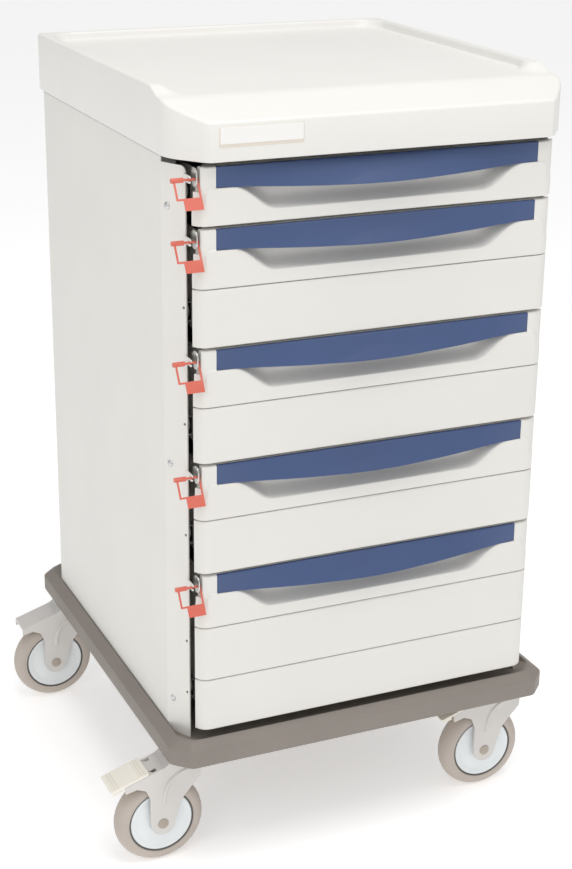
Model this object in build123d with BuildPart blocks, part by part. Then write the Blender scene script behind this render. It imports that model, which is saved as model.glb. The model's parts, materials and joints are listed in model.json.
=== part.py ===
"""Instrument cart: a five-drawer cabinet on four swivel casters, with breakaway seals on the drawers.

The cart is laid out on its own centre plane: X = 0 is the middle, Y = 0 the plane of the drawer
fronts (the front faces -Y) and Z = 0 the floor. The last step moves every piece so that the origin
is the bottom centre of the whole cart's bounding box. All lengths are millimetres.
"""

import math
import os

from build123d import *

# ---- the drawer stack: every front is a whole number of equal modules ----
module_height = 76.2
modules_per_drawer = (1, 2, 2, 2, 3)  # top drawer first
stack_bottom = 219.4
stack_top = stack_bottom + module_height * sum(modules_per_drawer)
front_top_margin = 2.0  # below the module line above the drawer
front_bottom_margin = 2.2  # above the module line under the drawer
seam_gap = 1.0  # between the panels of one drawer, on the module line

# ---- drawer fronts ----
front_half_width = 251.0
front_corner_radius = 18.0
front_depth = 22.0
front_end_depth = 13.0  # beside the corner strips
front_wall = 3.0
front_edge_radius = 1.5
housing_half_width = 215.0
housing_depth = 33.0
box_front = 33.0
band_height = 26.1  # the grip and its end caps, measured down from the front's top edge
band_recess = 1.9
band_step = 6.5  # drop of the band's lower edge past the ends of the grip
grip_half_width = 222.4
grip_thickness = 6.0
grip_fit = 0.1  # clearance round the grip in its seat
grip_bulge = 17.0
grip_sag = 6.0
grip_sag_half_width = 185.0
scoop_depth = 20.0
scoop_half_width_top = 194.0
scoop_half_width_bottom = 149.0
scoop_floor_drop = 55.9  # below the front's top edge
scoop_ceiling_drop = 6.0
scoop_draft = 9.0
scoop_corner = 20.0
notch_x = -241.5
notch_height = 30.0

# ---- drawer boxes and runners ----
box_half_width = 228.0
box_back = 520.0
box_wall = 2.0
box_bottom_margin = 6.0
box_top_margin = 12.0
rail_start = 70.0
rail_length = 455.0
rail_sheet = 1.5
rail_height = 34.0
drawer_rail_height = 26.0
rail_outer_x = 246.0
rail_inner_x = 234.0
drawer_rail_x = 236.5
rail_above_box = 22.0
cabinet_roller_radius = 10.5
drawer_roller_radius = 14.5

# ---- cabinet ----
panel_x = 270.3
panel_sheet = 2.0
panel_front = 62.7
panel_back = 556.7
back_sheet = 2.3
flange_tip = (252.2, 26.8)
flange_sheet = 2.0
upright_width = 25.0
upright_starts = (76.0, 505.0)
deck_sheet = 3.0

# ---- base tray ----
base_half_width = 287.5
base_front = -13.0
base_back = 624.0
base_corner = 24.0
base_bottom = 174.4
base_side_top = 199.4
base_crest = 209.4
bevel_run = 14.0
tray_floor = 199.9
tray_wall = 1.5

# ---- worktop ----
top_underside = 986.4
top_rim = 1065.7
top_surface = 1055.4
top_half_width = 274.2
top_front = -11.0
top_back = 571.0
top_front_half_width = 237.0
top_chamfer_start = 36.0
top_nose = 1033.9
top_shell = 6.0
rim_width = 12.0
rim_step = (94.0, 52.0)
rim_end = 140.0
label_size = (103.0, 24.0)
label_centre = (-168.5, 1015.8)

# ---- seals and hasps ----
seal_drop = 14.8  # below the top edge of each drawer front
seal_y = 10.0
seal_rod_radius = 1.5
seal_barrel = (-276.8, -261.5)
seal_barrel_radius = 3.1
seal_right_arm = (-244.4, -242.2)
seal_left_arm = (-274.2, -271.8)
seal_tilt = 31.3
seal_arm_length = 23.1
seal_flag = (23.5, 15.2, 1.2)
seal_flag_left = -265.6
hasp_x = -247.0
hasp_sheet = 1.6
hasp_size = (17.0, 24.0)
hasp_lift = 2.3  # plate's middle above the rod
lug_x = -254.4
lug_sheet = 1.6
lug_height = 9.0
lug_front = 6.5
lug_slot = 4.0
spare_hole_drop = 26.0  # below the top edge of a module
spare_hole_radius = 2.0
spare_hole_inset = 4.5
screw_inset = 10.0
screw_levels = (250.0, 589.0, 925.0)
back_screw_levels = (225.0, 590.0, 960.0)
back_screw_x = (-240.0, 0.0, 240.0)
screw_radius = 4.6
screw_top_radius = 2.8
screw_height = 2.4

# ---- casters ----
swivel_x = 253.0
swivel_y = (65.5, 573.0)
caster_trail = 33.2
wheel_radius = 63.5
tyre_half_width = 16.0
tyre_bore = 46.8
hub_half_width = 15.0
hub_boss_radius = 13.0
hub_dish = (14.5, 38.0)  # radii between which the hub is set back
hub_dish_depth = 1.5
hub_rim_radius = 42.0
axle_radius = 5.0
cap_radius = 8.0
fork_half_width = 22.0
fork_sheet = 3.5
kingpin_radius = 6.0
running_clearance = 0.05
web_tip = (-86.0, 132.7)  # outer end of the web between the fork legs, from the swivel axis
web_root = (-30.0, 150.6)
leg_rear = (web_tip, (-86.0, 121.8), (-70.0, 125.5), (-57.0, 120.0), (-51.0, 105.0))  # down to the axle
leg_front = ((-7.0, 94.6), (6.0, 110.5), (22.0, 127.4), (24.0, 152.0), (-22.0, 156.0), web_root)  # and up again
leg_end_radius = 17.5
hood_end = -51.5
hood_sheet = 1.5
hood_half_width = 11.5
pedal_pin = (-47.0, 138.0)
pedal_pin_radius = 2.5
pedal_tip = (-108.0, 130.0)
pedal_heel = (-53.0, 148.0)
pedal_half_width = 23.0
pedal_sheet = 3.2
pedal_rib = (2.2, 1.4)

pieces = {}


def keep(piece, label):
    """Name a finished piece and put it on the list of pieces to write."""
    piece.part.label = label
    pieces[label] = piece.part


def drawer_levels():
    """Lowest and highest level of each drawer front, top drawer first."""
    top = stack_top
    levels = []
    for count in modules_per_drawer:
        bottom = top - count * module_height
        levels.append((bottom + front_bottom_margin, top - front_top_margin))
        top = bottom
    return levels


def span(low, high):
    """Middle and length of a stretch."""
    return (low + high) / 2, high - low


def block(low, high, mode=Mode.ADD):
    """A box between two opposite corners, made in the part being built."""
    middle = [(a + b) / 2 for a, b in zip(low, high)]
    with Locations(tuple(middle)):
        Box(*[b - a for a, b in zip(low, high)], mode=mode)


# ------------------------------------------------------------------ cabinet shell and base


def base_outline(inset, height):
    """The base's plan outline, drawn in from its widest line, at one level."""
    corner = base_corner - inset * (2 - math.sqrt(2))
    depth_middle, depth = span(base_front, base_back)
    with BuildSketch(Plane.XY.offset(height)) as outline:
        with Locations((0, depth_middle)):
            Rectangle(2 * (base_half_width - inset), depth - 2 * inset)
        chamfer(outline.vertices(), corner)
    return outline.sketch


def make_base():
    """Moulded base: an upright bumper side, a bevel up to a crest and a shallow tray inside it."""
    recess_x = panel_x + tray_wall
    recess_front = base_front + bevel_run + tray_wall
    with BuildPart() as base:
        add(base_outline(0, base_bottom))
        extrude(amount=base_side_top - base_bottom)
        add(base_outline(0, base_side_top))
        add(base_outline(bevel_run, base_crest))
        loft()
        with BuildSketch(Plane.XY.offset(tray_floor)) as recess:
            middle, depth = span(recess_front, panel_back + back_sheet + tray_wall)
            with Locations((0, middle)):
                Rectangle(2 * recess_x, depth)
            front_corners = recess.vertices().group_by(Axis.Y)[0]
            chamfer(front_corners, base_corner - 2 * tray_wall)
        extrude(amount=base_crest - tray_floor, mode=Mode.SUBTRACT)
        bottom_edges = base.faces().sort_by(Axis.Z)[0].edges()
        fillet(bottom_edges, 3)
    keep(base, "base_tray")


def make_side_panels():
    """Left and right sheet-metal sides, standing in the tray."""
    deck_bottom = top_underside - deck_sheet
    for side, label in ((-1, "side_panel_left"), (1, "side_panel_right")):
        inner = panel_x - panel_sheet
        low_x, high_x = sorted((side * inner, side * panel_x))
        with BuildPart() as panel:
            block((low_x, panel_front + 1, tray_floor), (high_x, panel_back, deck_bottom))
        keep(panel, label)


def make_back_panel():
    """Back sheet, a little narrower than the cabinet."""
    with BuildPart() as back:
        half = panel_x - panel_sheet
        block((-half, panel_back, tray_floor), (half, panel_back + back_sheet, top_underside - deck_sheet))
    keep(back, "back_panel")


def make_top_plate():
    """Steel deck that closes the cabinet and carries the worktop."""
    with BuildPart() as deck:
        block((-panel_x, panel_front, top_underside - deck_sheet), (panel_x, panel_back, top_underside))
    keep(deck, "top_plate")


def flange_plane():
    """Plane of the left flange's outer face: x runs from the panel to the tip, y is up."""
    run = Vector(panel_x - flange_tip[0], flange_tip[1] - panel_front, 0)
    outward = Vector(run.Y, -run.X, 0)
    return Plane(origin=(-panel_x, panel_front, 0), x_dir=run, z_dir=outward), run.length


def seal_levels():
    """Height of the seal rod on each drawer."""
    return [top - seal_drop for _, top in drawer_levels()]


def hole_levels():
    """Heights of the spare seal holes, one on each module that has no seal."""
    levels = []
    for count, (_, top) in zip(modules_per_drawer, drawer_levels()):
        levels += [top - index * module_height - spare_hole_drop for index in range(1, count)]
    return levels


def make_corner_flanges():
    """Slanted strips down both front corners, the left one with open-fronted lugs for the seal rods."""
    plane, width = flange_plane()
    lug_middle, lug_reach = span(lug_front, flange_tip[1] + 2)
    low, high = tray_floor, stack_top - 4
    top_corner = 8.0
    with BuildPart() as flanges:
        with BuildSketch(plane) as strip:
            with BuildLine():
                Polyline((0, low), (width, low), (width, high), (0, high), close=True)
            make_face()
            top_tip = strip.vertices().sort_by(Axis.Y)[-2:].sort_by(Axis.X)[-1]
            fillet(top_tip, top_corner)
            with Locations(*[(width - spare_hole_inset, level) for level in hole_levels()]):
                Circle(spare_hole_radius, mode=Mode.SUBTRACT)
        extrude(amount=-flange_sheet)
        mirror(about=Plane.YZ)
        for level in seal_levels():
            with BuildSketch(Plane.YZ.offset(lug_x)):
                with Locations((lug_middle, level)):
                    RectangleRounded(lug_reach, lug_height, 2)
                with Locations((seal_y, level)):
                    Circle(lug_slot / 2, mode=Mode.SUBTRACT)
                with Locations((seal_y - lug_slot, level)):
                    Rectangle(2 * lug_slot, lug_slot, mode=Mode.SUBTRACT)
            extrude(amount=lug_sheet)
    keep(flanges, "corner_flanges")


def make_screws():
    """Domed screw heads on the flanges and the back panel."""
    plane, _ = flange_plane()
    seats = []
    for level in screw_levels:
        left = plane.from_local_coords((screw_inset, level, 0))
        seats.append(Plane(origin=left, z_dir=plane.z_dir))
        seats.append(Plane(origin=(-left.X, left.Y, level), z_dir=(-plane.z_dir.X, plane.z_dir.Y, 0)))
    for x in back_screw_x:
        for level in back_screw_levels:
            seats.append(Plane(origin=(x, panel_back + back_sheet, level), z_dir=(0, 1, 0)))
    with BuildPart() as screws:
        for seat in seats:
            with Locations(seat.location):
                Cone(screw_radius, screw_top_radius, screw_height,
                     align=(Align.CENTER, Align.CENTER, Align.MIN))
    keep(screws, "panel_screws")


def make_uprights():
    """Four channel posts inside the cabinet that carry the slides."""
    outer = panel_x - panel_sheet
    depth = outer - rail_outer_x
    with BuildPart() as posts:
        for side in (-1, 1):
            for start in upright_starts:
                with BuildSketch(Plane.XY.offset(tray_floor)):
                    with Locations((side * (outer - depth / 2), start + upright_width / 2)):
                        Rectangle(depth, upright_width)
                    with Locations((side * (outer - depth / 2 + rail_sheet), start + upright_width / 2)):
                        Rectangle(depth, upright_width - 2 * rail_sheet, mode=Mode.SUBTRACT)
                extrude(amount=top_underside - deck_sheet - tray_floor)
    keep(posts, "slide_uprights")


def channel(side, web_x, tip_x, height, level):
    """A C-section runner along Y, with its web at web_x and its flanges reaching to tip_x."""
    inward = 1 if tip_x > web_x else -1
    web_inner = web_x + inward * rail_sheet
    low, high = level - height / 2, level + height / 2
    points = [(web_x, low), (tip_x, low), (tip_x, low + rail_sheet), (web_inner, low + rail_sheet),
              (web_inner, high - rail_sheet), (tip_x, high - rail_sheet), (tip_x, high), (web_x, high)]
    with BuildSketch(Plane.XZ.offset(-rail_start)) as profile:
        with BuildLine():
            Polyline(*[(side * x, z) for x, z in points], close=True)
        make_face()
    extrude(profile.sketch, amount=-rail_length)


def rail_level(bottom):
    """Height of a drawer's runners above its front's lower edge."""
    return bottom + box_bottom_margin + rail_above_box


def roller(side, low_x, high_x, y, level, radius):
    """A runner's wheel, turned about an axis along X."""
    near, far = sorted((side * low_x, side * high_x))
    with BuildSketch(Plane.YZ.offset(near)) as disc:
        with Locations((y, level)):
            Circle(radius)
    extrude(disc.sketch, amount=far - near)


def make_cabinet_rails():
    """Outer slide members, a pair for each drawer, fixed to the uprights."""
    drawer_web = box_half_width + rail_sheet
    with BuildPart() as rails:
        for bottom, _ in drawer_levels():
            for side in (-1, 1):
                channel(side, rail_outer_x, rail_inner_x, rail_height, rail_level(bottom))
                roller(side, drawer_web + 2, rail_outer_x - rail_sheet, rail_start + 12, rail_level(bottom),
                       cabinet_roller_radius)
    keep(rails, "cabinet_rails")


# ------------------------------------------------------------------ worktop


def top_outline(inset, height):
    """The worktop's plan outline: square at the back, cut across at both front corners."""
    side = top_half_width - inset
    front = top_front_half_width - inset * 0.55
    start = top_chamfer_start + inset * 0.35
    with BuildSketch(Plane.XY.offset(height)) as outline:
        with BuildLine():
            Polyline((-side, top_back - inset), (-side, start), (-front, top_front + inset),
                     (front, top_front + inset), (side, start), (side, top_back - inset), close=True)
        make_face()
        fillet(outline.vertices().group_by(Axis.Y)[-1], 9 - inset)
    return outline.sketch


def make_worktop():
    """Moulded worktop: raised rim at the sides and back, stepping down to a sloped front."""
    high = top_rim + 5
    step_back, step_front = rim_step
    with BuildPart() as cavity:
        add(top_outline(top_shell, top_underside))
        extrude(amount=top_surface - top_underside)
        with BuildSketch(Plane.YZ):
            with BuildLine():
                Polyline((top_front, top_underside), (top_front, top_nose - 2 * top_shell),
                         (step_front, top_surface - top_shell), (top_back, top_surface - top_shell),
                         (top_back, top_underside), close=True)
            make_face()
        extrude(amount=top_half_width, both=True, mode=Mode.INTERSECT)
    with BuildPart() as worktop:
        add(top_outline(0, top_underside))
        extrude(amount=top_rim - top_underside)
        upright_edges = worktop.edges().filter_by(Axis.Z).group_by(Axis.Y)
        fillet(upright_edges[0], 8)
        upright_edges = worktop.edges().filter_by(Axis.Z).filter_by_position(
            Axis.Y, top_chamfer_start - 5, top_chamfer_start + 5)
        fillet(upright_edges, 10)
        with BuildSketch(Plane.YZ):
            with BuildLine():
                Bezier((step_back, top_rim), (step_back - 22, top_rim), (step_front + 22, top_surface),
                       (step_front, top_surface))
                Polyline((step_front, top_surface), (top_front, top_nose), (top_front - 5, top_nose),
                         (top_front - 5, high), (step_back, high), (step_back, top_rim))
            make_face()
        extrude(amount=top_half_width + 5, both=True, mode=Mode.SUBTRACT)
        with BuildSketch(Plane.XY.offset(top_surface)) as surface:
            inner = top_half_width - rim_width
            with BuildLine():
                Polyline((-inner, top_back - rim_width), (-inner, rim_end), (-inner - 8, step_back),
                         (-inner - rim_width - 3, step_front - 12), (inner + rim_width + 3, step_front - 12),
                         (inner + 8, step_back), (inner, rim_end), (inner, top_back - rim_width), close=True)
            make_face()
            fillet(surface.vertices().group_by(Axis.Y)[-1], 38)
            fillet(surface.vertices().filter_by_position(Axis.Y, rim_end - 1, rim_end + 1), 30)
        extrude(amount=high - top_surface, mode=Mode.SUBTRACT)
        add(cavity.part, mode=Mode.SUBTRACT)
    keep(worktop, "worktop")


def make_label():
    """Write-on label plate on the worktop's front face."""
    width, height = label_size
    with BuildPart() as label:
        with BuildSketch(Plane.XZ.offset(-top_front)):
            with Locations(label_centre):
                RectangleRounded(width, height, 1.5)
        extrude(amount=1.0)
    keep(label, "worktop_label")


# ------------------------------------------------------------------ drawers


def front_outline(inset, height):
    """Plan outline of a drawer front with its rounded front corners, at one level."""
    half = front_half_width - inset
    middle, depth = span(inset, front_depth)
    with BuildSketch(Plane.XY.offset(height)) as outline:
        with Locations((0, middle)):
            Rectangle(2 * half, depth)
        fillet(outline.vertices().group_by(Axis.Y)[0], front_corner_radius - inset)
        with Locations((-front_half_width, front_depth), (front_half_width, front_depth)):
            Rectangle(2 * front_corner_radius, 2 * (front_depth - front_end_depth), mode=Mode.SUBTRACT)
    return outline.sketch


def add_extension_panels(bottom, count):
    """Plain hollow panels below the handle panel, one module each."""
    line = bottom - front_bottom_margin
    for index in range(count):
        high = line + (index + 1) * module_height - seam_gap / 2
        low = bottom if index == 0 else high - module_height + seam_gap
        add(front_outline(0, low))
        extrude(amount=high - low)
        half = front_half_width - front_corner_radius
        block((-half, front_wall, low + front_wall), (half, front_depth + 1, high - front_wall),
              mode=Mode.SUBTRACT)


def scoop_section(top, depth, inset):
    """Outline of the scoop at one depth behind the front, drawn in by the inset."""
    floor = top - scoop_floor_drop + inset
    shoulder = top - band_height - 2
    ceiling = top - scoop_ceiling_drop
    wide, narrow = scoop_half_width_top - inset, scoop_half_width_bottom - inset
    with BuildSketch(Plane.XZ.offset(-depth)) as section:
        with BuildLine():
            Polyline((-narrow, floor), (narrow, floor), (wide, shoulder), (wide, ceiling),
                     (-wide, ceiling), (-wide, shoulder), close=True)
        make_face()
        fillet(section.vertices().group_by(Axis.Y)[0], scoop_corner)
    return section.sketch


def scoop_cutter(top):
    """Finger scoop: a bowl with sloping sides, reaching up behind the grip."""
    overshoot = 1.0
    with BuildPart() as cutter:
        add(scoop_section(top, -overshoot, -overshoot * scoop_draft / scoop_depth))
        add(scoop_section(top, scoop_depth, scoop_draft))
        loft()
    return cutter.part


def band_cutter(low, top):
    """Tool that sets the top band of the front back a little and wraps round its corners."""
    edge = top - band_height
    reach = front_half_width + 5
    with BuildPart() as cutter:
        with BuildSketch(Plane.XZ.offset(5)):
            with BuildLine():
                Polyline((-reach, edge - band_step), (-grip_half_width - 12, edge - band_step),
                         (-grip_half_width - 1, edge), (grip_half_width + 1, edge),
                         (grip_half_width + 12, edge - band_step), (reach, edge - band_step),
                         (reach, top + 5), (-reach, top + 5), close=True)
            make_face()
        extrude(amount=-front_depth)
        add(front_outline(band_recess, low))
        extrude(amount=top - low, mode=Mode.SUBTRACT)
    return cutter.part


def make_front(number, bottom, top):
    """Handle panel with its scoop, and the plain panels below it, as separate solids."""
    count = modules_per_drawer[number - 1]
    line = top + front_top_margin - module_height
    low = line + (seam_gap / 2 if count > 1 else front_bottom_margin)
    seat_bottom = top - band_height
    band = band_cutter(low, top)
    scoop = scoop_cutter(top)
    with BuildPart() as front:
        add(front_outline(0, low))
        extrude(amount=top - low)
        rim = [edge for edge in front.edges().filter_by(Axis.Z, reverse=True)
               if edge.center().Y < front_depth - 1]
        fillet(rim, front_edge_radius)
        block((-housing_half_width, front_depth - 0.5, low + 3),
              (housing_half_width, housing_depth, top - 3))
        add(band, mode=Mode.SUBTRACT)
        add(scoop, mode=Mode.SUBTRACT)
        block((-grip_half_width, -1, seat_bottom), (grip_half_width, grip_thickness, top + 1),
              mode=Mode.SUBTRACT)
        block((-front_half_width - 1, -1, top - notch_height), (notch_x, front_depth + 1, top + 1),
              mode=Mode.SUBTRACT)
    with BuildPart() as fronts:
        add(front.part)
        add_extension_panels(bottom, count - 1)
        panels = [edge for edge in fronts.edges().filter_by(Axis.Z, reverse=True)
                  if edge.center().Z < line and edge.center().Y < front_depth - 1]
        outside = [edge for edge in panels if is_outer_edge(edge)]
        if outside:
            fillet(outside, front_edge_radius)
    keep(fronts, f"drawer_{number}_front")


def is_outer_edge(edge):
    """True for an edge on the outside of a front, false for one inside its hollow."""
    middle = edge @ 0.5
    straight = abs(middle.Y) < 0.01
    side = abs(middle.X) > front_half_width - front_corner_radius + 0.5
    return straight or side


def grip_section(level, bulge):
    """Plan outline of the grip at one level, bowed forward by the bulge at the middle."""
    half = grip_half_width - grip_fit
    face, back = band_recess, grip_thickness - grip_fit
    with BuildSketch(Plane.XY.offset(level)) as section:
        with BuildLine():
            Polyline((-half, face), (-half, back), (half, back), (half, face))
            ThreePointArc((-half, face), (0, -bulge), (half, face))
        make_face()
    return section.sketch


def make_grip(number, top):
    """Coloured grip bar: nearly straight along its top, its lower edge bowed forward and down."""
    high, bottom = top, top - band_height + grip_fit
    half = grip_half_width + 1
    with BuildPart() as grip:
        add(grip_section(bottom - grip_sag, grip_bulge))
        add(grip_section(high, -grip_fit))
        loft()
        with BuildSketch(Plane.XZ.offset(grip_bulge + 1)):
            with BuildLine():
                Polyline((-grip_sag_half_width, bottom), (-half, bottom), (-half, high), (half, high),
                         (half, bottom), (grip_sag_half_width, bottom))
                ThreePointArc((-grip_sag_half_width, bottom), (0, bottom - grip_sag),
                              (grip_sag_half_width, bottom))
            make_face()
        extrude(amount=-2 * grip_bulge - grip_thickness, mode=Mode.INTERSECT)
    keep(grip, f"drawer_{number}_grip")


def make_box(number, bottom, top):
    """Open drawer box behind the front."""
    low, high = bottom + box_bottom_margin, top - box_top_margin
    middle, depth = span(box_front, box_back)
    with BuildPart() as box:
        with BuildSketch(Plane.XY.offset(low)):
            with Locations((0, middle)):
                Rectangle(2 * box_half_width, depth)
        extrude(amount=high - low)
        with BuildSketch(Plane.XY.offset(low + box_wall)):
            with Locations((0, middle)):
                Rectangle(2 * (box_half_width - box_wall), depth - 2 * box_wall)
        extrude(amount=high - low, mode=Mode.SUBTRACT)
    keep(box, f"drawer_{number}_box")


def make_drawer_rails(number, bottom):
    """Inner slide members, one on each side of the drawer box."""
    with BuildPart() as rails:
        for side in (-1, 1):
            channel(side, box_half_width, drawer_rail_x, drawer_rail_height, rail_level(bottom))
            roller(side, box_half_width + rail_sheet, drawer_rail_x + 4, rail_start + rail_length - 16,
                   rail_level(bottom), drawer_roller_radius)
    keep(rails, f"drawer_{number}_rails")


def make_hasp(number, top):
    """Steel eye at the front's upper left corner that the seal passes through."""
    level = top - seal_drop
    foot_y = front_depth + 0.2
    foot_height = 16.0
    foot_end = -housing_half_width - 2
    stem_middle, stem_length = span(seal_y + 4, foot_y + hasp_sheet)
    foot_low = level + hasp_lift - foot_height / 2
    with BuildPart() as hasp:
        with BuildSketch(Plane.YZ.offset(hasp_x)):
            with Locations((seal_y + 2, level + hasp_lift)):
                RectangleRounded(*hasp_size, 8)
            with Locations((stem_middle, level + hasp_lift)):
                Rectangle(stem_length, foot_height)
            with Locations((seal_y, level)):
                Circle(seal_rod_radius + running_clearance, mode=Mode.SUBTRACT)
        extrude(amount=hasp_sheet)
        block((hasp_x, foot_y, foot_low), (foot_end, foot_y + hasp_sheet, foot_low + foot_height))
    keep(hasp, f"drawer_{number}_hasp")


def make_seal(number, top):
    """Breakaway seal: a locking barrel, a rod through the eye, two arms and a flag."""
    level = top - seal_drop
    flag_width, flag_height, flag_sheet = seal_flag
    foot = 2.4
    hang = Plane(origin=(0, seal_y, level), x_dir=(1, 0, 0), z_dir=(0, -1, 0)).rotated((-seal_tilt, 0, 0))
    with BuildPart() as seal:
        with BuildSketch(Plane.YZ.offset(seal_barrel[0])):
            with Locations((seal_y, level)):
                Circle(seal_barrel_radius)
        extrude(amount=seal_barrel[1] - seal_barrel[0])
        with BuildSketch(Plane.YZ.offset(seal_barrel[1])):
            with Locations((seal_y, level)):
                Circle(seal_rod_radius)
        extrude(amount=seal_right_arm[1] - seal_barrel[1])
        with BuildSketch(hang.offset(-flag_sheet / 2)):
            for low_x, high_x in (seal_right_arm, seal_left_arm):
                with Locations(((low_x + high_x) / 2, -(seal_arm_length + foot) / 2)):
                    Rectangle(high_x - low_x, seal_arm_length + foot)
            with Locations((seal_flag_left + flag_width / 2, -seal_arm_length - flag_height / 2)):
                Rectangle(flag_width, flag_height)
            with Locations(((seal_left_arm[0] + seal_flag_left) / 2 + 1, -seal_arm_length - foot / 2)):
                Rectangle(seal_flag_left - seal_left_arm[0] + 2, foot)
        extrude(amount=flag_sheet)
    keep(seal, f"seal_{number}")


# ------------------------------------------------------------------ casters


def wheel_centre(x, y):
    """Centre of the wheel that belongs to a swivel axis."""
    return (x - caster_trail, y, wheel_radius)


def leg_outline(x):
    """Side view of one fork leg, hung from the swivel axis at x."""
    axle_x = x - caster_trail
    foot = [(axle_x - leg_end_radius, wheel_radius), (axle_x + leg_end_radius, wheel_radius)]
    rear = [(x + run, level) for run, level in leg_rear]
    front = [(x + run, level) for run, level in leg_front]
    with BuildSketch() as outline:
        with BuildLine():
            Polyline(*rear, *foot, *front, close=True)
        make_face()
        fillet(outline.vertices().filter_by_position(Axis.X, x - 58, x - 50).filter_by_position(
            Axis.Y, 100, 122), 6)
        with Locations((axle_x, wheel_radius)):
            Circle(leg_end_radius)
    return outline.sketch


def make_fork(label, x, y, braked):
    """Caster fork: two pressed legs, a web over the wheel and a crown that turns on the kingpin."""
    axle_x, _, axle_z = wheel_centre(x, y)
    crown_low, crown_high = 152.0, 160.0
    web_end = -40.0 if braked else web_tip[0]
    web_rise = (web_root[1] - web_tip[1]) / (web_root[0] - web_tip[0])
    web_level = web_tip[1] + (web_end - web_tip[0]) * web_rise
    hood_level = web_tip[1] + (hood_end - web_tip[0]) * web_rise
    inner = fork_half_width - fork_sheet
    outline = leg_outline(x)
    with BuildPart() as fork:
        for near in (-fork_half_width, inner):
            with BuildSketch(Plane.XZ.offset(-(y + near))):
                add(outline)
                with Locations((axle_x, axle_z)):
                    Circle(axle_radius + running_clearance, mode=Mode.SUBTRACT)
            extrude(amount=-fork_sheet)
        with BuildSketch(Plane.XZ.offset(-(y - inner - 0.5))):
            with BuildLine():
                Polyline((x + web_end, web_level), (x + web_root[0], web_root[1]), (x - 22, 156),
                         (x - 22, 152), (x - 28, 147.2), (x + web_end, web_level - fork_sheet), close=True)
            make_face()
        extrude(amount=-2 * inner - 1)
        block((x - 24, y - inner - 0.5, crown_low), (x + 23.5, y + inner + 0.5, crown_low + 4))
        with BuildSketch(Plane.XY.offset(crown_low)):
            with Locations((x, y)):
                Circle(23)
        extrude(amount=crown_high - crown_low)
        if braked:
            with BuildSketch(Plane.XZ.offset(-(y - inner - 0.5))):
                with Locations((x + pedal_pin[0], pedal_pin[1])):
                    Circle(pedal_pin_radius)
            extrude(amount=-2 * inner - 1)
            with BuildSketch(Plane.XZ.offset(-(y - hood_half_width))):
                with BuildLine():
                    Polyline((x + hood_end, hood_level), (x + web_end + 1, web_level + web_rise),
                             (x + web_end + 1, web_level + web_rise - hood_sheet),
                             (x + hood_end, hood_level - hood_sheet), close=True)
                make_face()
            extrude(amount=-2 * hood_half_width)
        with Locations((x, y, crown_low)):
            Cylinder(kingpin_radius + running_clearance, 40, mode=Mode.SUBTRACT)
    keep(fork, f"caster_{label}_fork")


def make_axle(label, x, y):
    """Axle pin with a round cap at each end."""
    axle_x, _, axle_z = wheel_centre(x, y)
    with BuildPart() as axle:
        with BuildSketch(Plane.XZ.offset(-(y - fork_half_width))):
            with Locations((axle_x, axle_z)):
                Circle(axle_radius)
        extrude(amount=-2 * fork_half_width)
        for start in (y - fork_half_width - 1.8, y + fork_half_width):
            with BuildSketch(Plane.XZ.offset(-start)):
                with Locations((axle_x, axle_z)):
                    Circle(cap_radius)
            extrude(amount=-1.8)
    keep(axle, f"caster_{label}_axle")


def make_wheel(label, x, y):
    """Hub with its bore, and the rounded tyre around it."""
    centre = wheel_centre(x, y)
    side = Plane(origin=centre, x_dir=(1, 0, 0), z_dir=(0, 0, 1))
    axis = Axis(centre, (0, 1, 0))
    bore = axle_radius + running_clearance
    boss = fork_half_width - fork_sheet - 0.5
    dish = hub_half_width - hub_dish_depth
    with BuildPart() as hub:
        with BuildSketch(side):
            with BuildLine():
                Polyline((bore, -boss), (hub_boss_radius, -boss), (hub_dish[0], -dish), (hub_dish[1], -dish),
                         (hub_rim_radius, -hub_half_width), (tyre_bore, -hub_half_width),
                         (tyre_bore, hub_half_width), (hub_rim_radius, hub_half_width), (hub_dish[1], dish),
                         (hub_dish[0], dish), (hub_boss_radius, boss), (bore, boss), close=True)
            make_face()
        revolve(axis=axis)
    keep(hub, f"caster_{label}_hub")
    middle, height = span(tyre_bore, wheel_radius)
    with BuildPart() as tyre:
        with BuildSketch(side) as section:
            with Locations((middle, 0)):
                Rectangle(height, 2 * tyre_half_width)
            fillet(section.vertices().group_by(Axis.X)[-1], 12)
            fillet(section.vertices().group_by(Axis.X)[0], 1.5)
        revolve(axis=axis)
    keep(tyre, f"caster_{label}_tyre")


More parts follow.
